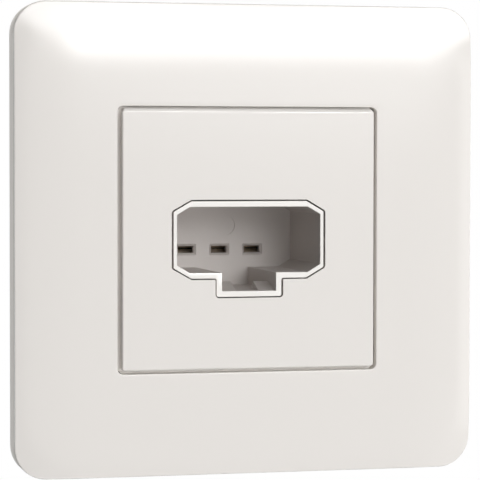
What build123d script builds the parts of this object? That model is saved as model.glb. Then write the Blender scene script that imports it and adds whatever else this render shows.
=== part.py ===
from build123d import *
import os
from math import sqrt

# Lighting connection outlet for a flush wall box.
# X runs right, Y runs into the wall and Z runs up, from the middle of the wall plane.
# A height is measured from the wall plane towards the room, so what lies in the box is below zero.
# All lengths are in millimetres.

# Cover and carrier
plate_side = 82.0
plate_corner_r = 5.5
carrier_h = 4.45
carrier_wall = 1.8
carrier_web = 1.5
carrier_rib_t = 1.0
carrier_rib_pitch = 32.0
cover_t = 1.9
border_run = 12.0
roll_run = 4.5
crown_r = 215.0
roll_r = 30.5
field_corner_r = 0.5
shoulder = 0.2
seam_h = 0.45
seam_d = 0.9
window_corner_r = 1.1
window_edge = 0.2
skirt_h = 1.4
skirt_t = 1.0

# Insert
insert_side = 45.0
insert_corner_r = 0.5
insert_edge_r = 0.35
insert_t = 2.0
insert_wall = 1.3
insert_proud = 0.55
window_gap = 0.77
ledge_gap = 0.12
ledge_sunk = 1.2
ledge_cut = 0.8

# Well of the socket, seen from the front
well_w = 25.72
well_h = 11.48
well_cut_x = 2.3
well_cut_z = 1.35
well_depth = 20.4
tab_w = 9.7
tab_drop = 3.21
rim_t = 0.98
rim_side_t = 0.6
rim_cut_grow_x = 0.85
rim_cut_grow_z = 0.5
rim_corner_r = 0.4
rim_gap = 0.25
rim_sunk = 0.15

# Floor of the well
floor_t = 1.8
slot_w = 2.95
slot_h = 1.3
slot_bevel = 0.42
pin_pitch = 6.2
pin_row_x = -0.55
pin_row_z = -2.5
mark_r = 1.8
mark_x = 0.6
mark_z = 1.9
mark_d = 0.25

# Catch ramps in the tab of the well
ramp_w = 2.85
ramp_rise = 1.4
ramp_run = 5.0
ramp_start = 0.85

# Socket housing behind the insert
flange_inset = 0.5
flange_t = 1.6
flange_corner_r = 1.0
body_wall = 1.5
body_margin = 1.5
body_corner_r = 1.2
gusset_t = 1.2
gusset_pitch = 7.0

# Yoke
yoke_margin = 3.7
yoke_corner_r = 7.0
yoke_t = 1.2
box_screw_pitch = 60.0
screw_slot_l = 7.0
screw_slot_w = 4.0
screw_relief = 9.0

# Wire terminals
wire_r = 1.5
wire_pitch = 5.2
wire_lift = 0.2
pole_pitch = 12.5
release_w = 2.6
release_h = 1.0
release_rise = 3.7
partition_t = 1.0
chamber_d = 10.4
chamber_gap = 1.4
cap_t = 1.6

# Contacts and clamp springs
contact_t = 0.6
contact_w = 3.0
leaf_t = 0.4
leaf_gap = 0.7
leaf_spread = 3.0
leaf_flare = 1.5
leaf_bend_r = 1.0
leaf_lead = 3.6
bar_z = 5.0
bar_overhang = 2.5
tie_h = 1.4
tie_z = 0.6
spring_t = 0.35
spring_w = 4.0
spring_rise = 4.8
spring_bend_r = 1.2
spring_lead = 3.6

# Snap legs
leg_t = 1.2
leg_w = 4.0
leg_barb = 0.6
leg_x = 12.0
latch_x = 13.6
hook_x = 22.0
hook_inset = 8.0
ratchet_l = 6.0
ratchet_teeth = 3
ratchet_x = 10.0
barb_l = 2.5
barb_w = 6.0
barb_pitch = 14.0

# Screws of the rear cap
screw_r = 1.1
screw_head_r = 2.0
screw_head_h = 1.2
screw_length = 16.0
screw_column_r = 2.8
screw_inset = 2.2
screw_recess_w = 0.6
screw_recess_d = 0.7
boss_r = 2.5
boss_end = 1.5

# Clearances
slide_gap = 0.2
catch_gap = 0.1
part_gap = 0.4
thread_gap = 0.03

# Heights that follow from the sizes above
cover_front = carrier_h + cover_t
insert_front = cover_front + insert_proud
rim_front = insert_front - rim_sunk
flange_front = yoke_t + flange_t
web_back = carrier_h - carrier_web
well_floor = rim_front - well_depth
housing_back = well_floor - floor_t
chamber_back = housing_back - chamber_d
cap_back = chamber_back - cap_t
screw_seat = cap_back + screw_head_h + slide_gap
screw_tip = screw_seat + screw_length
boss_front = screw_tip + boss_end

# Widths and places that follow from the sizes above
window_side = insert_side + 2 * window_gap
skirt_side = window_side + 2 * skirt_t
opening_side = skirt_side + 2 * slide_gap
ledge_side = window_side - 2 * ledge_gap
flange_side = insert_side - 2 * flange_inset
yoke_side = plate_side - 2 * (carrier_wall + yoke_margin)
field = plate_side / 2 - border_run
tab_floor_z = -(well_h / 2 + tab_drop)
wire_z = bar_z + wire_lift + wire_r
chamber_half_w = pole_pitch + wire_pitch / 2 + spring_w / 2 + chamber_gap
chamber_top = wire_z + wire_r + spring_rise
chamber_bottom = tab_floor_z - rim_t - body_margin + body_wall
body_half_w = chamber_half_w + body_wall
body_top = chamber_top + body_wall
body_bottom = chamber_bottom - body_wall
body_w = 2 * body_half_w
body_h = body_top - body_bottom
body_z = (body_top + body_bottom) / 2
leg_z = flange_side / 2 - leg_t - 2 * leg_barb
hook_z = plate_side / 2 - hook_inset
ratchet_z = opening_side / 2 + leg_t
screw_x = chamber_half_w - screw_inset
screw_z = chamber_bottom + screw_inset
poles = {
    "line": (pin_row_x - pin_pitch, -pole_pitch),
    "earth": (pin_row_x, 0.0),
    "neutral": (pin_row_x + pin_pitch, pole_pitch),
}


def front(height):
    """Sketch plane parallel to the wall, facing the room, at a height above the wall."""
    return Plane.XZ.offset(height)


def upright(x):
    """Sketch plane across X: its first axis runs into the wall and its second runs up."""
    return Plane.YZ.offset(x)


def rounded_square(side, radius, mode=Mode.ADD):
    """Square with rounded corners, in the sketch being drawn."""
    RectangleRounded(side, side, radius, mode=mode)


def body_outline():
    """Outline of the part that goes into the wall box, in the sketch being drawn."""
    with Locations((0, body_z)):
        RectangleRounded(body_w, body_h, body_corner_r)


def well_outline(wall=0.0, side_wall=0.0, cut_grow_x=0.0, cut_grow_z=0.0):
    """Face of the T-shaped well, or of the tube around it, in the sketch being drawn."""
    x = well_w / 2 + side_wall
    z = well_h / 2 + wall
    cut_x = well_cut_x + cut_grow_x
    cut_z = well_cut_z + cut_grow_z
    tab_x = tab_w / 2 + wall
    tab_z = tab_floor_z - wall
    right = [(x - cut_x, z), (x, z - cut_z), (x, cut_z - z), (x - cut_x, -z), (tab_x, -z), (tab_x, tab_z)]
    left = [(-px, pz) for px, pz in reversed(right)]
    with BuildLine() as outline:
        Polyline(*right, *left, close=True)
    make_face(outline.edges())


def rim_outline():
    """Outer face of the tube around the well, in the sketch being drawn."""
    well_outline(rim_t, rim_side_t, rim_cut_grow_x, rim_cut_grow_z)


def snap_leg(x, z, side, root, catch, tip, teeth=1):
    """Leg that springs past an edge. side is 1 or -1, the way along Z that its barbs point."""
    outer = z + side * leg_t
    pitch = (catch - tip) / teeth
    points = [(-root, z), (-root, outer)]
    for tooth in range(teeth):
        step = tooth * pitch - catch
        points += [(step, outer), (step, outer + side * leg_barb)]
    points += [(-tip, outer), (-tip, z)]
    with BuildSketch(upright(x - leg_w / 2)) as profile:
        with BuildLine():
            Polyline(*points, close=True)
        make_face()
    extrude(profile.sketch, amount=leg_w)


def leg_window(x, z, side, room=0.0, mode=Mode.SUBTRACT):
    """Window that a snap leg springs through, in the sketch being drawn. room lets its barb lie inside."""
    inner = z - side * (leg_barb + slide_gap)
    outer = z + side * (leg_t + slide_gap + room)
    with Locations((x, (inner + outer) / 2)):
        Rectangle(leg_w + 2 * slide_gap, abs(outer - inner), mode=mode)


def bent_strip(points, thickness, bend_r, x, width):
    """Strip of sheet centred on x and bent along points, each a distance into the wall and a height up."""
    with BuildSketch(upright(x - width / 2)) as profile:
        with BuildLine():
            FilletPolyline(*points, radius=bend_r)
        trace(line_width=thickness)
    extrude(profile.sketch, amount=width)


def four_places(x, z):
    """The four places (x, z, side) of a pattern that is mirrored left to right and top to bottom."""
    return [(sx * x, sz * z, sz) for sx in (-1, 1) for sz in (-1, 1)]


def box_screw_places():
    """The four screw places of the wall box: left, right, bottom and top."""
    half = box_screw_pitch / 2
    return [(-half, 0), (half, 0), (0, -half), (0, half)]


def wire_places(pole_x):
    """The two wire entries (x, z) of one pole."""
    return [(pole_x - wire_pitch / 2, wire_z), (pole_x + wire_pitch / 2, wire_z)]


os.makedirs("parts", exist_ok=True)

# Cover plate: a front with a rolled border, over a seam that runs under its edge
with BuildPart() as cover_plate:
    with BuildSketch(front(carrier_h)):
        rounded_square(plate_side, plate_corner_r)
    extrude(amount=cover_t)
    # The border falls back from the flat field, first gently and then faster, swept around the field
    crown_run = border_run - roll_run
    crown_sine = crown_run / crown_r
    edge_sine = crown_sine + roll_run / roll_r
    crown_cosine = sqrt(1 - crown_sine**2)
    edge_cosine = sqrt(1 - edge_sine**2)
    crown_y = crown_r * (1 - crown_cosine) - cover_front
    edge_y = crown_y + roll_r * (crown_cosine - edge_cosine)
    reach = sqrt(2) * border_run
    reach_y = edge_y + (reach - border_run) * edge_sine / edge_cosine
    with BuildSketch(front(cover_front), mode=Mode.PRIVATE) as flat_field:
        rounded_square(2 * field, field_corner_r)
    with BuildSketch(upright(0)):
        with BuildLine():
            start = (-cover_front, field)
            crown_end = (crown_y, field + crown_run)
            edge = (edge_y, field + border_run)
            end = (reach_y, field + reach)
            above = -cover_front - cover_t
            TangentArc(start, crown_end, tangent=(0, 1))
            TangentArc(crown_end, edge, tangent=(crown_sine, crown_cosine))
            Polyline(edge, end, (above, field + reach), (above, field), start)
        make_face()
    sweep(path=flat_field.sketch.face().outer_wire(), mode=Mode.SUBTRACT)
    sides = cover_plate.faces().filter_by(lambda face: abs(face.normal_at().Y) < 0.5)
    front_edge = sides.edges().filter_by(lambda edge: edge.bounding_box().max.Y < -carrier_h - seam_h / 2)
    chamfer(front_edge, shoulder)
    with BuildSketch(front(carrier_h - skirt_h)):
        Rectangle(skirt_side, skirt_side)
    extrude(amount=skirt_h)
    with BuildSketch(front(carrier_h - skirt_h)):
        rounded_square(window_side, window_corner_r)
    extrude(amount=skirt_h + cover_t, mode=Mode.SUBTRACT)
    chamfer(cover_plate.faces().sort_by(Axis.Y)[0].inner_wires()[0].edges(), window_edge)
    with BuildSketch(front(carrier_h)):
        rounded_square(plate_side + seam_d, plate_corner_r)
        rounded_square(plate_side - 2 * seam_d, plate_corner_r - seam_d, Mode.SUBTRACT)
    extrude(amount=seam_h, mode=Mode.SUBTRACT)
    for x, z, side in four_places(hook_x, hook_z):
        snap_leg(x, z, side, carrier_h, web_back - catch_gap, yoke_t + part_gap)
cover_plate.part.label = "cover_plate"
export_step(cover_plate.part, "parts/cover_plate.step")

# Plate carrier: a ribbed frame whose ratchet legs hold it to the yoke
with BuildPart() as plate_carrier:
    with BuildSketch(front(0)):
        rounded_square(plate_side, plate_corner_r)
    extrude(amount=carrier_h)
    with BuildSketch(front(0)):
        rounded_square(plate_side - 2 * carrier_wall, plate_corner_r - carrier_wall)
    extrude(amount=web_back, mode=Mode.SUBTRACT)
    with BuildSketch(front(yoke_t + part_gap)):
        with GridLocations(carrier_rib_pitch, 0, 2, 1):
            Rectangle(carrier_rib_t, plate_side - carrier_wall)
        with GridLocations(0, carrier_rib_pitch, 1, 2):
            Rectangle(plate_side - carrier_wall, carrier_rib_t)
        Rectangle(opening_side + 2 * leg_t, opening_side + 2 * leg_t)
    extrude(amount=web_back - yoke_t - part_gap)
    with BuildSketch(front(0)):
        Rectangle(opening_side, opening_side)
        for x, z, side in four_places(hook_x, hook_z):
            leg_window(x, z, side, mode=Mode.ADD)
        with Locations(*box_screw_places()):
            Rectangle(screw_relief, screw_relief)
    extrude(amount=carrier_h, mode=Mode.SUBTRACT)
    for x, z, side in four_places(ratchet_x, ratchet_z):
        snap_leg(x, z, side, web_back, -catch_gap, -ratchet_l, ratchet_teeth)
plate_carrier.part.label = "plate_carrier"
export_step(plate_carrier.part, "parts/plate_carrier.step")

# Insert plate: the square front of the mechanism, clipped to the flange of the socket housing
with BuildPart() as insert_plate:
    with BuildSketch(front(flange_front)):
        rounded_square(insert_side, insert_corner_r)
    extrude(amount=insert_front - flange_front)
    fillet(insert_plate.faces().sort_by(Axis.Y)[0].edges(), insert_edge_r)
    # A ledge around the insert closes the gap to the window of the cover
    with BuildSketch(front(flange_front)) as ledge:
        Rectangle(ledge_side, ledge_side)
        chamfer(ledge.vertices(), ledge_cut)
    extrude(amount=cover_front - ledge_sunk - flange_front)
    with BuildSketch(front(flange_front)):
        Rectangle(insert_side - 2 * insert_wall, insert_side - 2 * insert_wall)
    extrude(amount=insert_front - insert_t - flange_front, mode=Mode.SUBTRACT)
    with BuildSketch(front(flange_front)) as opening:
        rim_outline()
        fillet(opening.vertices(), rim_corner_r)
        offset(amount=rim_gap)
    extrude(amount=insert_front - flange_front, mode=Mode.SUBTRACT)
    for x, z, side in four_places(leg_x, leg_z):
        snap_leg(x, z, side, insert_front - insert_t, yoke_t - catch_gap, -part_gap)
insert_plate.part.label = "insert_plate"
export_step(insert_plate.part, "parts/insert_plate.step")

# Socket housing: the T-shaped well on its flange, with side walls that snap into the yoke
with BuildPart() as socket_housing:
    with BuildSketch(front(yoke_t)):
        rounded_square(flange_side, flange_corner_r)
        for x, z, side in four_places(leg_x, leg_z):
            leg_window(x, z, side)
    extrude(amount=flange_t)
    with BuildSketch(front(housing_back)) as tube:
        rim_outline()
        fillet(tube.vertices(), rim_corner_r)
    extrude(amount=rim_front - housing_back)
    with BuildSketch(front(housing_back)):
        body_outline()
    extrude(amount=floor_t)
    with BuildSketch(front(well_floor)):
        body_outline()
        with Locations((0, body_z)):
            Rectangle(body_w - 2 * body_wall, body_h, mode=Mode.SUBTRACT)
        Rectangle(body_w, gusset_t)
        with Locations((0, body_top / 2)):
            with GridLocations(gusset_pitch, 0, 4, 1):
                Rectangle(gusset_t, body_top)
    extrude(amount=yoke_t - well_floor)
    with BuildSketch(front(housing_back)):
        with Locations((-screw_x, screw_z), (screw_x, screw_z)):
            Circle(boss_r)
    extrude(amount=boss_front - housing_back)
    # Barbs that spring out behind the yoke
    for side in (-1, 1):
        for step in (-barb_pitch / 2, barb_pitch / 2):
            with BuildSketch(Plane.XY.offset(body_z + step - barb_w / 2)):
                with BuildLine():
                    root = side * (body_half_w - body_wall / 2)
                    face = side * body_half_w
                    nose = side * (body_half_w + slide_gap + leg_barb)
                    back = catch_gap + barb_l
                    Polyline((root, catch_gap), (nose, catch_gap), (face, back), (root, back), close=True)
                make_face()
            extrude(amount=barb_w)
    # The well, then what stands in it and what is cut into its floor
    with BuildSketch(front(well_floor)):
        well_outline()
    extrude(amount=well_depth, mode=Mode.SUBTRACT)
    for side in (-1, 1):
        wall_x = side * (tab_w + rim_t) / 2
        with BuildSketch(upright(wall_x)):
            with BuildLine():
                toe = ramp_start - rim_front
                back = toe + ramp_run
                sunk_z = tab_floor_z - rim_t / 2
                crest_z = tab_floor_z + ramp_rise
                Polyline((toe, sunk_z), (toe, tab_floor_z), (back, crest_z), (back, sunk_z), close=True)
            make_face()
        extrude(amount=-side * (ramp_w + rim_t / 2))
    pin_places = [(pin_x, pin_row_z) for pin_x, pole_x in poles.values()]
    with BuildSketch(front(well_floor)):
        with Locations(*pin_places):
            Rectangle(slot_w + 2 * slot_bevel, slot_h + 2 * slot_bevel)
    extrude(amount=-slot_bevel, taper=45, mode=Mode.SUBTRACT)
    with BuildSketch(front(housing_back)):
        with Locations(*pin_places):
            Rectangle(slot_w, slot_h)
    extrude(amount=floor_t, mode=Mode.SUBTRACT)
    with BuildSketch(front(well_floor)):
        with Locations((mark_x, mark_z)):
            Circle(mark_r)
    extrude(amount=-mark_d, mode=Mode.SUBTRACT)
    with BuildSketch(front(housing_back)):
        with Locations((-screw_x, screw_z), (screw_x, screw_z)):
            Circle(screw_r + thread_gap)
    extrude(amount=screw_tip + part_gap - housing_back, mode=Mode.SUBTRACT)
    with BuildSketch(front(housing_back)):
        for x in (-latch_x, latch_x):
            leg_window(x, body_top, -1, mode=Mode.ADD)
    extrude(amount=floor_t, mode=Mode.SUBTRACT)
socket_housing.part.label = "socket_housing"
export_step(socket_housing.part, "parts/socket_housing.step")

# Mounting yoke: steel sheet that the housing snaps into and that is screwed to the wall box
with BuildPart() as mounting_yoke:
    with BuildSketch(front(0)):
        rounded_square(yoke_side, yoke_corner_r)
        with Locations((0, body_z)):
            Rectangle(body_w + 2 * slide_gap, body_h + 2 * slide_gap, mode=Mode.SUBTRACT)
        for x, z in box_screw_places():
            with Locations((x, z)):
                SlotOverall(screw_slot_l, screw_slot_w, rotation=0 if z == 0 else 90, mode=Mode.SUBTRACT)
        for x, z, side in four_places(leg_x, leg_z):
            leg_window(x, z, side, room=leg_barb)
        for x, z, side in four_places(ratchet_x, ratchet_z):
            leg_window(x, z, side)
    extrude(amount=yoke_t)
mounting_yoke.part.label = "mounting_yoke"
export_step(mounting_yoke.part, "parts/mounting_yoke.step")

# Terminal housing: rear cap with a chamber for each pole, wire entries and release slots
with BuildPart() as terminal_housing:
    with BuildSketch(front(cap_back)):
        body_outline()
    extrude(amount=housing_back - cap_back)
    with BuildSketch(front(chamber_back)):
        with Locations((0, (chamber_top + chamber_bottom) / 2)):
            Rectangle(2 * chamber_half_w, chamber_top - chamber_bottom)
    extrude(amount=chamber_d, mode=Mode.SUBTRACT)
    with BuildSketch(front(chamber_back)):
        with Locations((-screw_x, screw_z), (screw_x, screw_z)):
            Circle(screw_column_r)
    extrude(amount=chamber_d)
    upper = tie_z + tie_h + part_gap
    lower = tie_z - part_gap
    with BuildSketch(front(chamber_back)):
        with Locations((0, (upper + chamber_top) / 2)):
            with GridLocations(pole_pitch, 0, 2, 1):
                Rectangle(partition_t, chamber_top - upper)
        with Locations((pin_row_x, (lower + chamber_bottom) / 2)):
            with GridLocations(pin_pitch, 0, 2, 1):
                Rectangle(partition_t, lower - chamber_bottom)
    extrude(amount=chamber_d - catch_gap)
    for pin_x, pole_x in poles.values():
        with BuildSketch(front(cap_back)):
            with Locations(*wire_places(pole_x)):
                Circle(wire_r)
        extrude(amount=cap_t, mode=Mode.SUBTRACT)
        with BuildSketch(front(cap_back)):
            for wire_x, entry_z in wire_places(pole_x):
                with Locations((wire_x, entry_z + release_rise)):
                    Rectangle(release_w, release_h)
        extrude(amount=cap_t, mode=Mode.SUBTRACT)
    for x in (-latch_x, latch_x):
        snap_leg(x, body_top, -1, housing_back - leg_t, well_floor + catch_gap, well_floor + barb_l)
    with BuildSketch(front(cap_back)):
        with Locations((-screw_x, screw_z), (screw_x, screw_z)):
            Circle(screw_r + slide_gap)
    extrude(amount=housing_back - cap_back, mode=Mode.SUBTRACT)
    with BuildSketch(front(cap_back)):
        with Locations((-screw_x, screw_z), (screw_x, screw_z)):
            Circle(screw_head_r + slide_gap)
    extrude(amount=screw_seat - cap_back, mode=Mode.SUBTRACT)
terminal_housing.part.label = "terminal_housing"
export_step(terminal_housing.part, "parts/terminal_housing.step")

# Contacts: a pair of leaves behind each slot, tied to a busbar that the wires are clamped on
for pole, (pin_x, pole_x) in poles.items():
    with BuildPart() as contact:
        bar_half_w = wire_pitch / 2 + bar_overhang
        strip_bottom = pin_row_z - leaf_spread / 2 - leaf_t
        tie_top = tie_z + tie_h
        tie_left = min(pin_x, pole_x) - contact_w / 2
        tie_right = max(pin_x, pole_x) + contact_w / 2
        with BuildSketch(front(chamber_back)):
            with Locations((pin_x, (strip_bottom + tie_top) / 2)):
                Rectangle(contact_w, tie_top - strip_bottom)
            with Locations(((tie_left + tie_right) / 2, tie_z + tie_h / 2)):
                Rectangle(tie_right - tie_left, tie_h)
            with Locations((pole_x, (tie_z + bar_z) / 2)):
                Rectangle(contact_w, bar_z - tie_z)
            with Locations((pole_x, (tie_top + part_gap + bar_z) / 2)):
                Rectangle(2 * bar_half_w, bar_z - tie_top - part_gap)
        extrude(amount=contact_t)
        with BuildSketch(front(chamber_back)):
            with Locations((pole_x, bar_z - contact_t / 2)):
                Rectangle(2 * bar_half_w, contact_t)
        extrude(amount=chamber_d - part_gap)
        for side in (-1, 1):
            leaf = [
                (-chamber_back - contact_t / 2, pin_row_z + side * leaf_spread / 2),
                (leaf_lead - housing_back, pin_row_z + side * (leaf_gap + leaf_t) / 2),
                (part_gap - housing_back, pin_row_z + side * leaf_flare),
            ]
            bent_strip(leaf, leaf_t, leaf_bend_r, pin_x, contact_w)
    contact.part.label = f"contact_{pole}"
    export_step(contact.part, f"parts/contact_{pole}.step")

# Clamp springs: one behind each wire entry, bent back on itself so that its end grips the wire
for pole, (pin_x, pole_x) in poles.items():
    for number, (wire_x, entry_z) in enumerate(wire_places(pole_x), start=1):
        with BuildPart() as clamp_spring:
            ceiling = chamber_top - spring_t / 2
            bend = [
                (part_gap - housing_back, ceiling),
                (-chamber_back - part_gap, ceiling),
                (spring_lead - housing_back, bar_z + part_gap),
            ]
            bent_strip(bend, spring_t, spring_bend_r, wire_x, spring_w)
        clamp_spring.part.label = f"clamp_spring_{pole}_{number}"
        export_step(clamp_spring.part, f"parts/clamp_spring_{pole}_{number}.step")

# Screws that hold the terminal housing to the socket housing
for name, x in (("left", -screw_x), ("right", screw_x)):
    with BuildPart() as housing_screw:
        with BuildSketch(front(screw_seat)):
            with Locations((x, screw_z)):
                Circle(screw_r)
        extrude(amount=screw_length)
        with BuildSketch(front(screw_seat)):
            with Locations((x, screw_z)):
                Circle(screw_head_r)
        extrude(amount=-screw_head_h)
        with BuildSketch(front(screw_seat - screw_head_h)):
            with Locations((x, screw_z)):
                Rectangle(screw_recess_w, screw_head_r)
                Rectangle(screw_head_r, screw_recess_w)
        extrude(amount=screw_recess_d, mode=Mode.SUBTRACT)
    housing_screw.part.label = f"housing_screw_{name}"
    export_step(housing_screw.part, f"parts/housing_screw_{name}.step")
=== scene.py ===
# %% [markdown]
# # A lighting connection outlet, dressed for a product picture
#
# The object is a white wall outlet for a ceiling lamp lead. A square cover with a rolled border
# sits on a carrier, an insert fills the window of the cover, and a T-shaped well with three slots
# opens in the insert. Behind the wall plane there are a steel yoke and a grey terminal housing.
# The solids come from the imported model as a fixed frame. This lesson gives them soft edges, plastic
# and metal finishes, and the light of a small studio.
#
# X runs right, Y runs into the wall and Z runs up. Sizes of the pieces are written in millimetres,
# and MM turns them into Blender's metres. A height is counted from the wall plane towards the room.

# %% Load the frame
import math

import bmesh
import bpy
from mathutils import Matrix, Vector


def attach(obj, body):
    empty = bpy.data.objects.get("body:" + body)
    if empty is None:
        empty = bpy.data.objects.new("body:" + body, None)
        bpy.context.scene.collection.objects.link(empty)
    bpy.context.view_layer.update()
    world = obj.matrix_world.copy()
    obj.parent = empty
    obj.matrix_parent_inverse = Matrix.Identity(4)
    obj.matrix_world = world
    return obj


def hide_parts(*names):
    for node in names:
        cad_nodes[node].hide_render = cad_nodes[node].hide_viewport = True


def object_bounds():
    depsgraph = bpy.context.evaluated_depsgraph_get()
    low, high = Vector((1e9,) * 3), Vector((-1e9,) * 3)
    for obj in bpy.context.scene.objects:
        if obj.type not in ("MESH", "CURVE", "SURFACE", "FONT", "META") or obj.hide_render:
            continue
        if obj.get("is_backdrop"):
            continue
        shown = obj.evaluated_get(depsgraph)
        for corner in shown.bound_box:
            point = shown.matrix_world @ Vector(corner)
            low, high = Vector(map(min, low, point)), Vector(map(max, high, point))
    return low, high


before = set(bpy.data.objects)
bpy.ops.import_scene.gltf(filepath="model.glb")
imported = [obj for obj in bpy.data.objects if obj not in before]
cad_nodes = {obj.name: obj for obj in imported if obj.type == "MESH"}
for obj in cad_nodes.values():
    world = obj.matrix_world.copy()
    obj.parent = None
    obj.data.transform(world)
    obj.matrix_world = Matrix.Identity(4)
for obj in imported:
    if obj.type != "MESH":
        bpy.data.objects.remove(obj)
cad_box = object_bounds()
scene = bpy.context.scene
MM = 0.001
cad_size = [round(v / MM, 2) for v in cad_box[1] - cad_box[0]]
print("frame:", len(cad_nodes), "solids, box", cad_size, "mm")

# %% [markdown]
# ## Camera
# The picture was taken with a long lens from the left of the outlet, a little above its middle. A
# camera could be turned by hand until the outlines agree. This one was worked out from the corners
# of the cover and of the insert, because their places are known. It is set from a point, a target
# and a small roll, with no lens shift.

# %% Camera
CAMERA_AT = Vector((-97.277, -392.841, 14.830)) * MM
CAMERA_TARGET = Vector((-1.725, -6.9, -0.034)) * MM
CAMERA_ROLL = math.radians(0.077)
CAMERA_LENS = 171.62
SENSOR_WIDTH = 36.0
NEAREST_SEEN = 0.01
FARTHEST_SEEN = 20.0

camera_data = bpy.data.cameras.new("camera")
camera_data.lens = CAMERA_LENS
camera_data.sensor_width = SENSOR_WIDTH
camera_data.clip_start = NEAREST_SEEN
camera_data.clip_end = FARTHEST_SEEN
camera = bpy.data.objects.new("camera", camera_data)
scene.collection.objects.link(camera)
sight = (CAMERA_TARGET - CAMERA_AT).normalized()
level = sight.cross(Vector((0, 0, 1))).normalized()
upright = level.cross(sight)
side = level * math.cos(CAMERA_ROLL) + upright * math.sin(CAMERA_ROLL)
top = upright * math.cos(CAMERA_ROLL) - level * math.sin(CAMERA_ROLL)
turn = Matrix((side, top, -sight)).transposed()
camera.matrix_world = Matrix.Translation(CAMERA_AT) @ turn.to_4x4()
scene.camera = camera
print("camera:", round((CAMERA_TARGET - CAMERA_AT).length / MM), "mm from the insert")

# %% [markdown]
# ## Surfaces that are never quite even
# Neither plastic nor metal is one flat colour: the tone drifts, the gloss varies, and a fine relief
# breaks up reflections. Every material could have its own nodes for this. The plan is always the
# same, though, so it is written once, as a node group that takes a tone and some amounts and gives
# a colour, a roughness and a height. The Principled shader stays in the material.


# %% Node helpers
def place(tree, kind, x, y, **values):
    """Adds a node at a place in the editor and sets its properties."""
    node = tree.nodes.new(kind)
    node.location = (x, y)
    for name, value in values.items():
        setattr(node, name, value)
    return node


def noise(tree, x, y, coordinates, waves, detail):
    """Adds a noise texture and gives its value; waves counts them per unit of the coordinates."""
    node = place(tree, "ShaderNodeTexNoise", x, y)
    node.inputs["Scale"].default_value = waves
    node.inputs["Detail"].default_value = detail
    tree.links.new(coordinates, node.inputs["Vector"])
    return node.outputs["Fac"]


def spread(tree, x, y, value, low, high=None):
    """Maps a value from 0..1 to the range between two sockets; without the high one it ends at 1."""
    node = place(tree, "ShaderNodeMapRange", x, y)
    tree.links.new(value, node.inputs["Value"])
    tree.links.new(low, node.inputs["To Min"])
    if high:
        tree.links.new(high, node.inputs["To Max"])
    return node.outputs["Result"]


print("node helpers: place, noise and spread")

# %% Plan of a surface group
COLOUR = "NodeSocketColor"
NUMBER = "NodeSocketFloat"
SURFACE_TAKES = {"Tone": COLOUR, "Unevenness": NUMBER, "Gloss low": NUMBER, "Gloss high": NUMBER}
SURFACE_GIVES = {"Color": COLOUR, "Roughness": NUMBER, "Height": NUMBER}


def surface_group(name):
    """Starts a node group with the sockets of a surface."""
    group = bpy.data.node_groups.new(name, "ShaderNodeTree")
    for direction, sockets in (("INPUT", SURFACE_TAKES), ("OUTPUT", SURFACE_GIVES)):
        for socket_name, kind in sockets.items():
            group.interface.new_socket(socket_name, in_out=direction, socket_type=kind)
    return group


def join_surface(group, tone_noise, gloss_noise, height_noise):
    """Lets one noise darken the tone a little, one vary the gloss, and one be the height."""
    taken = place(group, "NodeGroupInput", -1100, 0).outputs
    given = place(group, "NodeGroupOutput", 500, 0).inputs
    darkest = place(group, "ShaderNodeMath", -650, 500, operation="SUBTRACT")
    darkest.inputs[0].default_value = 1.0
    group.links.new(taken["Unevenness"], darkest.inputs[1])
    shade = spread(group, -350, 250, tone_noise, darkest.outputs[0])
    tone = place(group, "ShaderNodeVectorMath", -50, 250, operation="MULTIPLY")
    group.links.new(taken["Tone"], tone.inputs[0])
    group.links.new(shade, tone.inputs[1])
    gloss = spread(group, -350, -50, gloss_noise, taken["Gloss low"], taken["Gloss high"])
    group.links.new(tone.outputs[0], given["Color"])
    group.links.new(gloss, given["Roughness"])
    group.links.new(height_noise, given["Height"])
    print("group:", group.name, "with", len(group.nodes), "nodes")


print("a surface takes", ", ".join(SURFACE_TAKES), "and gives", ", ".join(SURFACE_GIVES))

# %% [markdown]
# ## Moulded plastic
# On a moulding the tone drifts slowly over the part, the gloss follows the polish of the mould, and
# a very fine orange-peel skin breaks up reflections. A painted texture could show this, but it would
# need the part unwrapped. Noise in object coordinates needs no unwrapping and has no seams.

# %% The plastic skin group
DRIFT_WAVES = 18.0
POLISH_WAVES = 40.0
PEEL_WAVES = 900.0

plastic_skin = surface_group("plastic_skin")
plastic_at = place(plastic_skin, "ShaderNodeTexCoord", -900, 300).outputs["Object"]
drift = noise(plastic_skin, -650, 250, plastic_at, DRIFT_WAVES, detail=1.0)
polish = noise(plastic_skin, -650, -50, plastic_at, POLISH_WAVES, detail=2.0)
peel = noise(plastic_skin, -650, -350, plastic_at, PEEL_WAVES, detail=2.0)
join_surface(plastic_skin, drift, polish, peel)

# %% [markdown]
# ## Sheet metal
# The yoke is zinc-plated steel, the contacts are brass and the clamps are spring steel. All three
# come from rolled strip, so they share fine lines along the rolling direction and a cloudy plating.
# The lines could be drawn one by one. Noise that is stretched along X gives them without a count,
# and the same lines serve for the gloss and for the height.

# %% The rolled metal group
CLOUD_WAVES = 220.0
LINE_WAVES = (60.0, 2500.0, 2500.0)

rolled_metal = surface_group("rolled_metal")
metal_at = place(rolled_metal, "ShaderNodeTexCoord", -1100, 300).outputs["Object"]
stretch = place(rolled_metal, "ShaderNodeMapping", -900, -150)
stretch.inputs["Scale"].default_value = LINE_WAVES
rolled_metal.links.new(metal_at, stretch.inputs["Vector"])
lines = noise(rolled_metal, -650, -150, stretch.outputs["Vector"], waves=1.0, detail=3.0)
cloud = noise(rolled_metal, -650, 250, metal_at, CLOUD_WAVES, detail=5.0)
join_surface(rolled_metal, cloud, lines, lines)

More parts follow.
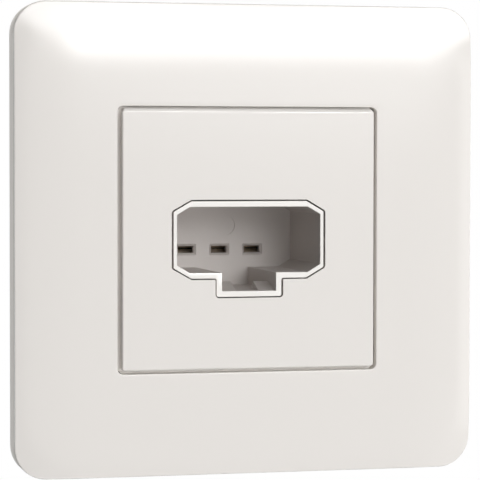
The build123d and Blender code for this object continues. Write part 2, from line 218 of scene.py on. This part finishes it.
# %% [markdown]
# ## Finishes
# The cover and the insert are the same warm white with a satin gloss. The collar of the well is
# moulded from a brighter white. The inside of the well is matt, and it is given a darker grey as
# painted shade for the deep well. The carrier behind the cover is a duller, warmer white, and the
# terminal housing in the wall box is light grey. The brass of the contacts is tarnished, so it is
# only partly metallic. One white for all of them would be simpler, but the small steps between the
# whites are what tells the pieces apart.

# %% Materials from a surface
finishes = {}


def finish(name, group, amounts, relief, depth):
    """Makes a material from a surface group, and gives its Principled shader."""
    material = bpy.data.materials.new(name)
    material.use_nodes = True
    tree = material.node_tree
    shader = tree.nodes["Principled BSDF"]
    surface = place(tree, "ShaderNodeGroup", -500, 200, node_tree=group)
    for socket_name, amount in amounts.items():
        surface.inputs[socket_name].default_value = amount
    bump = place(tree, "ShaderNodeBump", -250, -150)
    bump.inputs["Strength"].default_value = relief
    bump.inputs["Distance"].default_value = depth
    tree.links.new(surface.outputs["Color"], shader.inputs["Base Color"])
    tree.links.new(surface.outputs["Roughness"], shader.inputs["Roughness"])
    tree.links.new(surface.outputs["Height"], bump.inputs["Height"])
    tree.links.new(bump.outputs["Normal"], shader.inputs["Normal"])
    finishes[name] = material
    return shader


def amounts_of(tone, unevenness, gloss, gloss_spread):
    """What a surface group takes, with gloss given as the middle roughness."""
    low, high = gloss - gloss_spread, gloss + gloss_spread
    return {"Tone": (*tone, 1), "Unevenness": unevenness, "Gloss low": low, "Gloss high": high}


print("a finish is one Principled shader, fed by a surface group")

# %% Plastics
PLASTIC_IOR = 1.58
POLISH_SPREAD = 0.008
PEEL_STRENGTH = 0.02
PEEL_DEPTH = 0.02 * MM


def plastic(name, tone, gloss, unevenness=0.008):
    """Moulded plastic of one tone."""
    amounts = amounts_of(tone, unevenness, gloss, POLISH_SPREAD)
    shader = finish(name, plastic_skin, amounts, PEEL_STRENGTH, PEEL_DEPTH)
    shader.inputs["IOR"].default_value = PLASTIC_IOR


plastic("white_cover", (0.80, 0.768, 0.733), 0.13)
plastic("white_carrier", (0.78, 0.745, 0.69), 0.42)
plastic("white_insert", (0.80, 0.768, 0.733), 0.14)
plastic("bright_white", (0.885, 0.862, 0.825), 0.20)
# A darker grey version of the white: painted shade for the inside of the well.
plastic("well_painted_shade", (0.56, 0.523, 0.498), 0.50)
plastic("grey_housing", (0.40, 0.41, 0.42), 0.45, unevenness=0.05)
print("plastics:", ", ".join(finishes))

# %% Metals
ROLLED_SPREAD = 0.08
LINE_STRENGTH = 0.1
LINE_DEPTH = 0.01 * MM


def metal(name, tone, gloss, unevenness=0.12, metallic=1.0):
    """Rolled strip of one metal; a tarnished one is less metallic."""
    amounts = amounts_of(tone, unevenness, gloss, ROLLED_SPREAD)
    shader = finish(name, rolled_metal, amounts, LINE_STRENGTH, LINE_DEPTH)
    shader.inputs["Metallic"].default_value = metallic


metal("zinc_steel", (0.62, 0.63, 0.64), 0.36, unevenness=0.2)
metal("contact_brass", (0.78, 0.69, 0.58), 0.50, metallic=0.3)
metal("spring_steel", (0.55, 0.55, 0.55), 0.25)
metal("screw_steel", (0.60, 0.60, 0.61), 0.28)
print("finishes in all:", len(finishes))

# %% [markdown]
# ## Cover
# The front of the cover is almost flat, and its border rolls back, at first gently and then
# faster. A highlight runs along that roll, so the surface needs many fine, even faces. The packed
# solid is cut into long thin triangles, which is fine for collision but not for a highlight, and a
# subdivision would only follow those triangles. So the cover is drawn again as a stack of rounded
# squares, each a ring of points, joined by quads.

# %% Rounded squares
PER_CORNER = 14
PER_SIDE = 26


def rounded_square(half, radius):
    """Points (x, z) of a rounded square, evenly spread on its sides and its corners."""
    straight = half - radius
    points = []
    for quarter in range(4):
        turn_by = -quarter * math.pi / 2
        c, s = round(math.cos(turn_by)), round(math.sin(turn_by))
        part = [(-straight + 2 * straight * i / PER_SIDE, half) for i in range(PER_SIDE)]
        for i in range(PER_CORNER):
            a = math.pi / 2 * (1 - i / PER_CORNER)
            part.append((straight + radius * math.cos(a), straight + radius * math.sin(a)))
        points += [(x * c - z * s, x * s + z * c) for x, z in part]
    return points


print("one ring:", 4 * (PER_SIDE + PER_CORNER), "points")


# %% Roll of the border
def front_of(node):
    """Height of a solid's front, in millimetres."""
    return round(max(-point.co.y for point in cad_nodes[node].data.vertices) / MM, 3)


COVER_FRONT = front_of("cover_plate")
FIELD_HALF = 29.0
FIELD_CORNER = 0.5
CROWN_R = 150.0
CROWN_RUN = 9.0
ROLL_R = 23.0
ROLL_RUN = 3.0


def border_fall(run):
    """How far the border has fallen back at a distance from the flat field."""
    if run <= 0:
        return 0.0
    crown_sine = CROWN_RUN / CROWN_R
    crown_cosine = math.sqrt(1 - crown_sine**2)
    if run <= CROWN_RUN:
        return CROWN_R - math.sqrt(CROWN_R**2 - run**2)
    fall = CROWN_R * (1 - crown_cosine)
    sine = crown_sine + min(run - CROWN_RUN, ROLL_RUN) / ROLL_R
    cosine = math.sqrt(1 - sine**2)
    fall += ROLL_R * (crown_cosine - cosine)
    return fall + max(run - CROWN_RUN - ROLL_RUN, 0.0) * sine / cosine


def front_height(x, z):
    """Height of the cover's front at a point of the picture plane."""
    dx = max(abs(x) - FIELD_HALF + FIELD_CORNER, 0.0)
    dz = max(abs(z) - FIELD_HALF + FIELD_CORNER, 0.0)
    return COVER_FRONT - border_fall(math.hypot(dx, dz) - FIELD_CORNER)


print("border: falls", round(border_fall(CROWN_RUN + ROLL_RUN), 3), "mm from", COVER_FRONT, "mm at a side")

# %% Sizes of the cover
PLATE_HALF = round(cad_box[1][0] / MM, 3)
PLATE_CORNER = 5.5
CARRIER_FRONT = front_of("plate_carrier")
SEAM_TOP = 4.90
SEAM_DEPTH = 0.9
SEAM_HALF = PLATE_HALF - SEAM_DEPTH
SEAM_CORNER = PLATE_CORNER - SEAM_DEPTH
WINDOW_HALF = 23.27
WINDOW_CORNER = 1.1
WINDOW_TRIM = 0.13
SKIRT_BACK = 3.05
SKIRT_WALL = 1.0
SKIRT_HALF = WINDOW_HALF + SKIRT_WALL
SKIRT_CORNER = WINDOW_CORNER + SKIRT_WALL


def level_ring(half, radius, height, trim=0.0):
    """Ring at one height; trim takes something off it at the top and at the bottom."""
    return [(x, -height, z * (1 - trim / half)) for x, z in rounded_square(half, radius)]


def corner_at(half):
    """Corner radius of the rings between the window and the outline."""
    share = (half - WINDOW_HALF) / (PLATE_HALF - WINDOW_HALF)
    return WINDOW_CORNER + share * (PLATE_CORNER - WINDOW_CORNER)


print("cover:", 2 * PLATE_HALF, "mm wide, window", 2 * WINDOW_HALF, "mm")

# %% Rings of the cover
EDGE_ROUND = 0.14
SHOULDER = 0.23
ROUND_STEPS = 5
FRONT_STEPS = 36
front_from = WINDOW_HALF + EDGE_ROUND
front_to = PLATE_HALF - SHOULDER
quarter_turn = [math.pi / 2 * i / ROUND_STEPS for i in range(ROUND_STEPS + 1)]

# From the back of the window forward, around its edge and out over the front
cover_rings = [level_ring(WINDOW_HALF, WINDOW_CORNER, SKIRT_BACK, WINDOW_TRIM)]
for a in quarter_turn:
    grow = EDGE_ROUND * (1 - math.cos(a))
    height = COVER_FRONT - EDGE_ROUND * (1 - math.sin(a))
    cover_rings.append(level_ring(WINDOW_HALF + grow, WINDOW_CORNER + grow, height, WINDOW_TRIM))
for i in range(1, FRONT_STEPS + 1):
    half = front_from + (front_to - front_from) * i / FRONT_STEPS
    cover_rings.append([(x, -front_height(x, z), z) for x, z in rounded_square(half, corner_at(half))])

# Over the shoulder, back to the seam, and behind the front to the skirt of the window
edge_heights = [front_height(x, z) for x, z in rounded_square(front_to, corner_at(front_to))]
for a in quarter_turn[1:]:
    loop = rounded_square(front_to + SHOULDER * math.sin(a), PLATE_CORNER)
    drop = SHOULDER * (1 - math.cos(a))
    cover_rings.append([(x, drop - h, z) for (x, z), h in zip(loop, edge_heights)])
cover_rings.append(level_ring(PLATE_HALF, PLATE_CORNER, SEAM_TOP))
cover_rings.append(level_ring(SEAM_HALF, SEAM_CORNER, SEAM_TOP))
cover_rings.append(level_ring(SEAM_HALF, SEAM_CORNER, CARRIER_FRONT))
cover_rings.append(level_ring(SKIRT_HALF, SKIRT_CORNER, CARRIER_FRONT))
cover_rings.append(level_ring(SKIRT_HALF, SKIRT_CORNER, SKIRT_BACK))
print("cover:", len(cover_rings), "rings")


# %% Cover mesh
def skin_rings(rings):
    """Joins rings of equal length with quads, each to the next and the last to the first."""
    maker = bmesh.new()
    loops = [[maker.verts.new(Vector(p) * MM) for p in ring] for ring in rings]
    count = len(rings[0])
    for inner, outer in zip(loops, loops[1:] + loops[:1]):
        for i in range(count):
            j = (i + 1) % count
            maker.faces.new((inner[i], inner[j], outer[j], outer[i]))
    bmesh.ops.recalc_face_normals(maker, faces=maker.faces)
    return maker


cover_maker = skin_rings(cover_rings)
print("cover:", len(cover_maker.faces), "faces")

# %% [markdown]
# ### Shading and finish of a piece
# Smooth shading bends the light over an edge, which is right on a rounding and wrong beside a broad
# flat face. A Smooth by Angle modifier knows one angle for all edges. Here an edge of a broad face
# is set sharp at a much smaller angle than the others, so that flat faces stay flat.

# %% Cover on the frame
SHARP_ANGLE = math.radians(35.0)
SHARP_AT_BROAD = math.radians(0.5)
BROAD_FACE = 12.0 * MM**2


def object_from(maker, name, finish_name):
    """Turns a bmesh into a shaded object of one finish that rides on the frame."""
    for face in maker.faces:
        face.smooth = True
    for edge in maker.edges:
        if edge.is_manifold:
            broad = max(face.calc_area() for face in edge.link_faces) > BROAD_FACE
            edge.smooth = edge.calc_face_angle(0.0) < (SHARP_AT_BROAD if broad else SHARP_ANGLE)
    mesh = bpy.data.meshes.new(name)
    maker.to_mesh(mesh)
    maker.free()
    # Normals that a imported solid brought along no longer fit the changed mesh
    stale_normals = mesh.attributes.get("custom_normal")
    if stale_normals:
        mesh.attributes.remove(stale_normals)
    mesh.materials.append(finishes[finish_name])
    piece = bpy.data.objects.new(name, mesh)
    scene.collection.objects.link(piece)
    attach(piece, "root")
    return piece


cover = object_from(cover_maker, "cover", "white_cover")
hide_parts("cover_plate")
print("cover:", sum(edge.use_edge_sharp for edge in cover.data.edges), "sharp edges")

# %% [markdown]
# ## Softened edges on the other solids
# No moulded or stamped part has a razor edge: each one catches a thin line of light. The packed
# solids have sharp edges. A Bevel modifier could round them, but here points are also to be moved
# first and some edges left out. So every visible solid is copied, its flat faces are cleaned up, and
# a narrow rounding is cut along its sharp edges. The copy then stands for the solid.

# %% Clean copies
SAME_POINT = 0.002
FLAT_ANGLE = math.radians(0.4)


def clean_copy(node, move):
    """Copy of a solid with whole faces in place of its triangles; move shifts points on the way."""
    maker = bmesh.new()
    maker.from_mesh(cad_nodes[node].data)
    bmesh.ops.remove_doubles(maker, verts=maker.verts, dist=SAME_POINT * MM)
    if move:
        for point in maker.verts:
            move(point)
    bmesh.ops.dissolve_limit(maker, angle_limit=FLAT_ANGLE, verts=maker.verts, edges=maker.edges)
    return maker


print("clean copies: points within", SAME_POINT, "mm become one")

# %% Edge rounding
ROUNDED_FROM = math.radians(28.0)
BEVEL_STEPS = 2
FINE_EDGE = 0.08
SHEET_EDGE = 0.1
HOUSING_EDGE = 0.12


def softened(node, name, finish_name, width, keep=None, move=None):
    """Copy of a solid with narrow rounded edges; keep says at which places edges stay sharp."""
    maker = clean_copy(node, move)
    edges = [e for e in maker.edges if e.is_manifold and e.calc_face_angle(0.0) > ROUNDED_FROM]
    if keep:
        edges = [e for e in edges if not keep((e.verts[0].co + e.verts[1].co) / 2 / MM)]
    bmesh.ops.bevel(
        maker,
        geom=edges,
        offset=width * MM,
        segments=BEVEL_STEPS,
        profile=0.5,
        affect="EDGES",
        clamp_overlap=True,
    )
    piece = object_from(maker, name, finish_name)
    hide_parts(node)
    print(name, "has", len(piece.data.polygons), "faces,", len(edges), "edges rounded")
    return piece


softened("plate_carrier", "carrier", "white_carrier", FINE_EDGE)
softened("mounting_yoke", "yoke", "zinc_steel", SHEET_EDGE)
softened("terminal_housing", "rear_housing", "grey_housing", HOUSING_EDGE)

# %% [markdown]
# ## Insert
# The insert is the square front of the mechanism. The gap around it and the rounding of its front
# edges are lines of a few pixels in the picture, and they decide how crisp it looks. It could be
# drawn again like the cover, but its solid is nearly right. So the solid is copied like the others,
# and points are moved on the way, by about a quarter of a millimetre at most: the ledge in the gap
# lies in shade, the top edge is rounded wide enough to mirror the bright cards of the studio, and
# the sides are tighter. Around the opening, edges too narrow for a rounding stay sharp.

# %% Front edges of the insert
ON_FACE = 0.01
INSERT_HALF = 22.5
INSERT_CORNER = 0.5
INSERT_STRAIGHT = INSERT_HALF - INSERT_CORNER
INSERT_FRONT = front_of("insert_plate")
INSERT_ROUND = 0.35
SIDE_ROUND = 0.22


def seen_at(point):
    """Place of a point in millimetres: to the right, up, and its height."""
    return point.co.x / MM, point.co.z / MM, -point.co.y / MM


def tighten_edge(point):
    """Makes the rounding of the front edge tighter at the sides than at the top and bottom."""
    x, z, height = seen_at(point)
    if height < INSERT_FRONT - INSERT_ROUND - ON_FACE:
        return
    out_x, out_z = abs(x) - INSERT_STRAIGHT, abs(z) - INSERT_STRAIGHT
    beside = math.hypot(max(out_x, 0.0), max(out_z, 0.0)) or max(out_x, out_z)
    inward = INSERT_CORNER - beside
    if inward > INSERT_ROUND + ON_FACE:
        return
    if out_x > 0 and out_z > 0:
        sideways = out_x / beside
    else:
        sideways = 1.0 if out_x > out_z else 0.0
    share = 1 - sideways**2 * (1 - SIDE_ROUND / INSERT_ROUND)
    point.co.x += sideways * inward * (1 - share) * math.copysign(MM, x)
    point.co.y = -(INSERT_FRONT - (INSERT_FRONT - height) * share) * MM


print("insert: front at", INSERT_FRONT, "mm, its edges rounded by", INSERT_ROUND, "or", SIDE_ROUND, "mm")

# %% Outline and ledge of the insert
BESIDE_INSERT = 22.6
GROWN_RIGHT = 0.08
GROWN_TOP = 0.25
LEDGE_HEIGHT = 5.15
LEDGE_SUNK_TO = 4.9
LEDGE_TRIM = 0.03
COLLAR_REACH_X = 15.0
COLLAR_REACH_Z = 11.0
OPENING_LEFT = -13.0
OPENING_GROWN = 0.145
OPENING_LOW = -4.0
OPENING_LIFTED = 0.06


def at_collar(spot):
    """True around the opening for the collar of the well."""
    return abs(spot.x) < COLLAR_REACH_X and abs(spot.z) < COLLAR_REACH_Z


def grow_outline(point):
    """Widens the insert by the hair that the gap to the window shows, its top rounding with it."""
    x, z, height = seen_at(point)
    if max(abs(x), abs(z)) > BESIDE_INSERT:
        point.co.z *= 1 - LEDGE_TRIM / WINDOW_HALF
        return
    if height < LEDGE_SUNK_TO - ON_FACE or at_collar(point.co / MM):
        return
    if x > INSERT_STRAIGHT - ON_FACE:
        point.co.x += GROWN_RIGHT * MM
    rise = (z - INSERT_HALF + INSERT_ROUND) / INSERT_ROUND
    point.co.z += GROWN_TOP * min(max(rise, 0.0), 1.0) ** 3 * MM


def shape_insert(point):
    """Sets the ledge deeper, moves the edges of the opening and trims the front edges."""
    if abs(point.co.y / MM + LEDGE_HEIGHT) < ON_FACE:
        point.co.y = -LEDGE_SUNK_TO * MM
    if at_collar(point.co / MM) and point.co.x / MM < OPENING_LEFT:
        point.co.x -= OPENING_GROWN * MM
    if at_collar(point.co / MM) and point.co.z / MM < OPENING_LOW:
        point.co.z += OPENING_LIFTED * MM
    tighten_edge(point)
    grow_outline(point)


softened("insert_plate", "insert", "white_insert", FINE_EDGE, keep=at_collar, move=shape_insert)

# %% [markdown]
# ## Collar and well
# The collar is the bright rim in the insert's opening, and the well with its slots is moulded in one
# with it. The front edge of the collar is polished, and the inside is matt. The inside also gets a
# darker grey, as painted shade for the deep well. Two pieces could show that, but it is one moulding.
# So it stays one piece, its front is set a little deeper behind the insert, and the faces behind the
# front edge take a second finish, the painted shade. The edges of the slots are too narrow for a
# rounding and stay sharp.

# %% Socket
RIM_HEIGHT = front_of("socket_housing")
RIM_DRAWN_AT = 6.6
COLLAR_EDGE = 0.12
WELL_FLOOR_FROM = 13.3


def at_well_floor(spot):
    """True at the slots and the mark in the floor of the well."""
    return spot.y > WELL_FLOOR_FROM


def sink_rim(point):
    """Sets the front of the collar a little deeper behind the insert."""
    if abs(point.co.y / MM + RIM_HEIGHT) < ON_FACE:
        point.co.y = -RIM_DRAWN_AT * MM


socket = softened("socket_housing", "socket", "bright_white", FINE_EDGE, keep=at_well_floor, move=sink_rim)
# The faces behind the front edge get the darker grey: painted shade for the deep well.
socket.data.materials.append(finishes["well_painted_shade"])
for face in socket.data.polygons:
    face.material_index = 0 if -face.center.y / MM > RIM_DRAWN_AT - COLLAR_EDGE else 1
print("collar:", sum(face.material_index == 0 for face in socket.data.polygons), "bright faces")

# %% [markdown]
# ## Contacts behind the slots
# The leaves of a contact are sprung together while no pin parts them, and a little light falls
# through the slot on the lower leaf. The solids show the leaves parted by a pin. New strips could be
# bent for them, but the rest of the contact would have to be made again as well. So copies are
# closed here, by moving points towards the middle of the pin row: most at the narrow place. The
# leaves reach a little further right, where the slanting look through a slot would miss them.

# %% Contacts at rest
PIN_ROW_X = -0.55
PIN_ROW_Z = -2.5
PIN_PITCH = 6.2
LEAF_LIP = 15.7
LEAF_NARROW = 19.12
LEAF_ROOT = 25.2
LEAF_REACH = 2.0
LIP_MARGIN = 0.3
LEAF_CLOSED = 0.30
CLOSED_EARLY = 1.3
LEAF_SIDE = 1.4
LEAF_WIDER = 0.7
LEAF_EDGE = 0.04


def close_leaf(point):
    """Moves a point of a contact's leaves towards the pin row, and their right edge outwards."""
    depth, rise = point.co.y / MM, point.co.z / MM - PIN_ROW_Z
    if abs(rise) > LEAF_REACH or not LEAF_LIP - LIP_MARGIN < depth < LEAF_ROOT:
        return
    aside = (point.co.x / MM - PIN_ROW_X + PIN_PITCH / 2) % PIN_PITCH - PIN_PITCH / 2
    if aside > LEAF_SIDE:
        point.co.x += LEAF_WIDER * MM
    if depth < LEAF_NARROW:
        share = max(depth - LEAF_LIP, 0.0) / (LEAF_NARROW - LEAF_LIP)
    else:
        share = (LEAF_ROOT - depth) / (LEAF_ROOT - LEAF_NARROW)
    point.co.z -= math.copysign(LEAF_CLOSED * min(share * CLOSED_EARLY, 1.0), rise) * MM


for pole in ("line", "earth", "neutral"):
    softened(f"contact_{pole}", f"{pole}_contact", "contact_brass", LEAF_EDGE, move=close_leaf)

# %% [markdown]
# ## Metal parts inside
# The clamp springs and the screws sit in the housing, and little of them shows. They could be copied
# and rounded too, but their solids already have the forms that show. So they keep their solids and
# only get their metals.

# %% Metal finishes on the solids
INNER_FINISHES = {"clamp_spring_": "spring_steel", "housing_screw_": "screw_steel"}
for node_name, node in cad_nodes.items():
    for start, finish_name in INNER_FINISHES.items():
        if node_name.startswith(start):
            node.data.materials.clear()
            node.data.materials.append(finishes[finish_name])
print("inner metals:", ", ".join(INNER_FINISHES.values()))

# %% [markdown]
# ## Floor
# The picture shows the outlet on plain white. A pale floor lies below it, out of the frame, and
# catches a soft shadow when the outlet is seen from higher up. A shadow catcher would do for one
# picture, but a plain disc also works with other light. It glows a little to the camera, so that it
# comes close to the white of the world, and its rim fades out, so that no hard line shows. It throws
# no light back on the outlet: lamps stand for that.

# %% Floor disc
FLOOR_Z = -0.10
FLOOR_R = 0.33
FLOOR_SIDES = 96
floor_maker = bmesh.new()
bmesh.ops.create_circle(floor_maker, cap_ends=True, segments=FLOOR_SIDES, radius=FLOOR_R)
floor_mesh = bpy.data.meshes.new("floor")
floor_maker.to_mesh(floor_mesh)
floor_maker.free()
floor = bpy.data.objects.new("floor", floor_mesh)
floor.location = (0, 0, FLOOR_Z)
floor.visible_shadow = False
floor.visible_diffuse = False
floor.visible_glossy = False
scene.collection.objects.link(floor)
print("floor:", round(FLOOR_R / MM), "mm radius,", round(-FLOOR_Z / MM), "mm below the middle")

# %% Floor finish
FLOOR_TONE = (0.86, 0.86, 0.85, 1)
FLOOR_ROUGHNESS = 0.8
FLOOR_GLOW = 0.2
WHITE = (1, 1, 1, 1)

floor_finish = bpy.data.materials.new("pale_floor")
floor_finish.use_nodes = True
floor_tree = floor_finish.node_tree
floor_shader = floor_tree.nodes["Principled BSDF"]
floor_shader.inputs["Base Color"].default_value = FLOOR_TONE
floor_shader.inputs["Roughness"].default_value = FLOOR_ROUGHNESS
floor_shader.inputs["Emission Color"].default_value = WHITE
floor_ray = place(floor_tree, "ShaderNodeLightPath", -700, 250)
floor_glow = place(floor_tree, "ShaderNodeMath", -450, 250, operation="MULTIPLY")
floor_glow.inputs[1].default_value = FLOOR_GLOW
floor_tree.links.new(floor_ray.outputs["Is Camera Ray"], floor_glow.inputs[0])
floor_tree.links.new(floor_glow.outputs[0], floor_shader.inputs["Emission Strength"])
floor_mesh.materials.append(floor_finish)
print("floor glow:", FLOOR_GLOW, "to the camera")

# %% Fading rim of the floor
FADE_FROM = 0.35 * FLOOR_R
FADE_TO = 0.98 * FLOOR_R
rim_at = place(floor_tree, "ShaderNodeTexCoord", -900, -200)
rim_far = place(floor_tree, "ShaderNodeVectorMath", -700, -200, operation="LENGTH")
rim_fade = place(floor_tree, "ShaderNodeMapRange", -500, -200, interpolation_type="SMOOTHSTEP")
rim_fade.inputs["From Min"].default_value = FADE_FROM
rim_fade.inputs["From Max"].default_value = FADE_TO
clear = place(floor_tree, "ShaderNodeBsdfTransparent", 0, -250)
rim_mix = place(floor_tree, "ShaderNodeMixShader", 350, 0)
floor_out = floor_tree.nodes["Material Output"]
floor_out.location = (600, 0)
floor_tree.links.new(rim_at.outputs["Object"], rim_far.inputs[0])
floor_tree.links.new(rim_far.outputs["Value"], rim_fade.inputs["Value"])
floor_tree.links.new(rim_fade.outputs["Result"], rim_mix.inputs["Fac"])
floor_tree.links.new(floor_shader.outputs["BSDF"], rim_mix.inputs[1])
floor_tree.links.new(clear.outputs["BSDF"], rim_mix.inputs[2])
floor_tree.links.new(rim_mix.outputs["Shader"], floor_out.inputs["Surface"])
floor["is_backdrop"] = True
print("floor fades from", round(FADE_FROM / MM), "to", round(FADE_TO / MM), "mm")

# %% [markdown]
# ## World
# Around the outlet there is plain white. A white world of full strength would also flood the outlet
# with light and take its shading away. So the world is white to the camera and in reflections, and
# gives only a weak even light to surfaces. The Light Path node tells these rays apart.

# %% World
WORLD_LIGHT = 0.06
WORLD_SHOWN = 1.0
world = bpy.data.worlds.new("white_studio")
world.use_nodes = True
scene.world = world
sky = world.node_tree
sky_plain = sky.nodes["Background"]
sky_plain.inputs["Color"].default_value = WHITE
sky_plain.inputs["Strength"].default_value = WORLD_LIGHT
sky_white = place(sky, "ShaderNodeBackground", 0, -200)
sky_white.inputs["Color"].default_value = WHITE
sky_white.inputs["Strength"].default_value = WORLD_SHOWN
ray = place(sky, "ShaderNodeLightPath", -600, 300)
seen = place(sky, "ShaderNodeMath", -300, 300, operation="MAXIMUM")
seen_through = place(sky, "ShaderNodeMath", -100, 300, operation="MAXIMUM")
sky.links.new(ray.outputs["Is Camera Ray"], seen.inputs[0])
sky.links.new(ray.outputs["Is Glossy Ray"], seen.inputs[1])
sky.links.new(seen.outputs[0], seen_through.inputs[0])
sky.links.new(ray.outputs["Is Transmission Ray"], seen_through.inputs[1])
sky_mix = place(sky, "ShaderNodeMixShader", 300, 0)
sky.links.new(seen_through.outputs[0], sky_mix.inputs["Fac"])
sky.links.new(sky_plain.outputs[0], sky_mix.inputs[1])
sky.links.new(sky_white.outputs[0], sky_mix.inputs[2])
sky.links.new(sky_mix.outputs[0], sky.nodes["World Output"].inputs["Surface"])
print("world:", WORLD_LIGHT, "to surfaces,", WORLD_SHOWN, "to the camera")

# %% [markdown]
# ## Main light
# A wide oval softbox in front, up on the right, is the main light. A sun lamp would be simpler, but
# its shadows are hard. An area lamp is soft, and its brightness stays the same when its size is
# changed, because its power is worked out from a radiance. Its mirror image is left out, because it
# would disturb the rolled border.

# %% Main light
LAMP_AWAY = 1.2


def softbox(
    name,
    azimuth,
    elevation,
    width,
    height,
    radiance,
    shape="RECTANGLE",
    roll=0.0,
    reflected=True,
    lights=True,
):
    """Area light aimed at the outlet. Azimuth is to the right of straight in front, in degrees.

    A lamp that is not reflected has no mirror image, and one that lights nothing is only a card.
    """
    a, e = math.radians(azimuth), math.radians(elevation)
    way = Vector((math.sin(a) * math.cos(e), -math.cos(a) * math.cos(e), math.sin(e)))
    lamp = bpy.data.lights.new(name, "AREA")
    lamp.shape = shape
    lamp.size = width
    lamp.size_y = height
    filled = math.pi / 4 if shape == "ELLIPSE" else 1
    lamp.energy = radiance * math.pi * width * height * filled
    box = bpy.data.objects.new(name, lamp)
    tilt = Matrix.Rotation(math.radians(roll), 4, "Z")
    aim = way.to_track_quat("Z", "Y").to_matrix().to_4x4() @ tilt
    box.matrix_world = Matrix.Translation(way * LAMP_AWAY) @ aim
    box.visible_glossy = reflected
    box.visible_diffuse = lights
    scene.collection.objects.link(box)
    print(name, "at", azimuth, elevation, "degrees, radiance", radiance)


softbox("key_softbox", 17.0, 17.4, 1.05, 0.60, 5.16, shape="ELLIPSE", reflected=False)

# %% [markdown]
# ## Cards for the bright band
# The bright band on the rolled border is a mirror image, and its ends run out along slanted lines.
# One lamp could be bent to that shape, but its light on the rest would change with it. A
# photographer shapes such a band with white cards, apart from the light that falls on the object.
# Blender can do the same: a card is a lamp that shows in reflections but lights nothing. An upright
# card in the middle, a slanted one on either side and a faint oval for the soft lower rim give the
# band its shape.

# %% Cards
softbox("middle_card", 15.0, 15.0, 0.31, 0.385, 6.0, lights=False)
softbox("left_card", 1.5, 21.0, 0.60, 0.34, 6.0, roll=-39.0, lights=False)
softbox("right_card", 32.4, 19.5, 0.64, 0.34, 6.0, roll=25.0, lights=False)
softbox("rim_card", 17.0, 10.0, 0.52, 0.36, 1.2, shape="ELLIPSE", lights=False)

# %% [markdown]
# ## Panels around the outlet
# Two broad panels below stand for light that a table throws back, and a small one lifts the right
# side. Panels at the left and behind keep the sides and the back readable. More light from the world
# could do that too, but it would flatten the shading of the well.

# %% Panels
softbox("table_bounce", 12.0, -15.0, 1.80, 0.50, 1.52, reflected=False)
softbox("low_right_panel", 40.0, -30.0, 1.20, 0.90, 1.48, reflected=False)
softbox("right_panel", 44.0, -3.0, 0.51, 0.51, 1.1)
softbox("left_panel", -85.0, 5.0, 0.60, 0.60, 0.2)
softbox("back_left_panel", -120.0, 0.0, 0.51, 0.51, 3.85)
softbox("back_right_panel", 160.0, 40.0, 0.60, 0.60, 2.5)
softbox("back_panel", 180.0, 15.0, 0.60, 0.80, 3.6, reflected=False)
softbox("right_side_panel", 122.0, 10.0, 0.60, 0.60, 4.0, reflected=False)
softbox("back_top_panel", 180.0, 65.0, 0.70, 0.70, 2.6, reflected=False)

# %% [markdown]
# ## Close
# The colours are shown as they are written, with the plain view transform; a filmic one would grey
# the whites. The boxes of the solids and of the dressed model are kept side by side, so that a piece
# that grew too large is noticed.

# %% Sizes and finish
scene.view_settings.view_transform = "Standard"
visual_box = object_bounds()
grown = [round((v - c) / MM, 3) for v, c in zip(visual_box[1], cad_box[1])]
print("grown by", grown, "mm at the high corner")
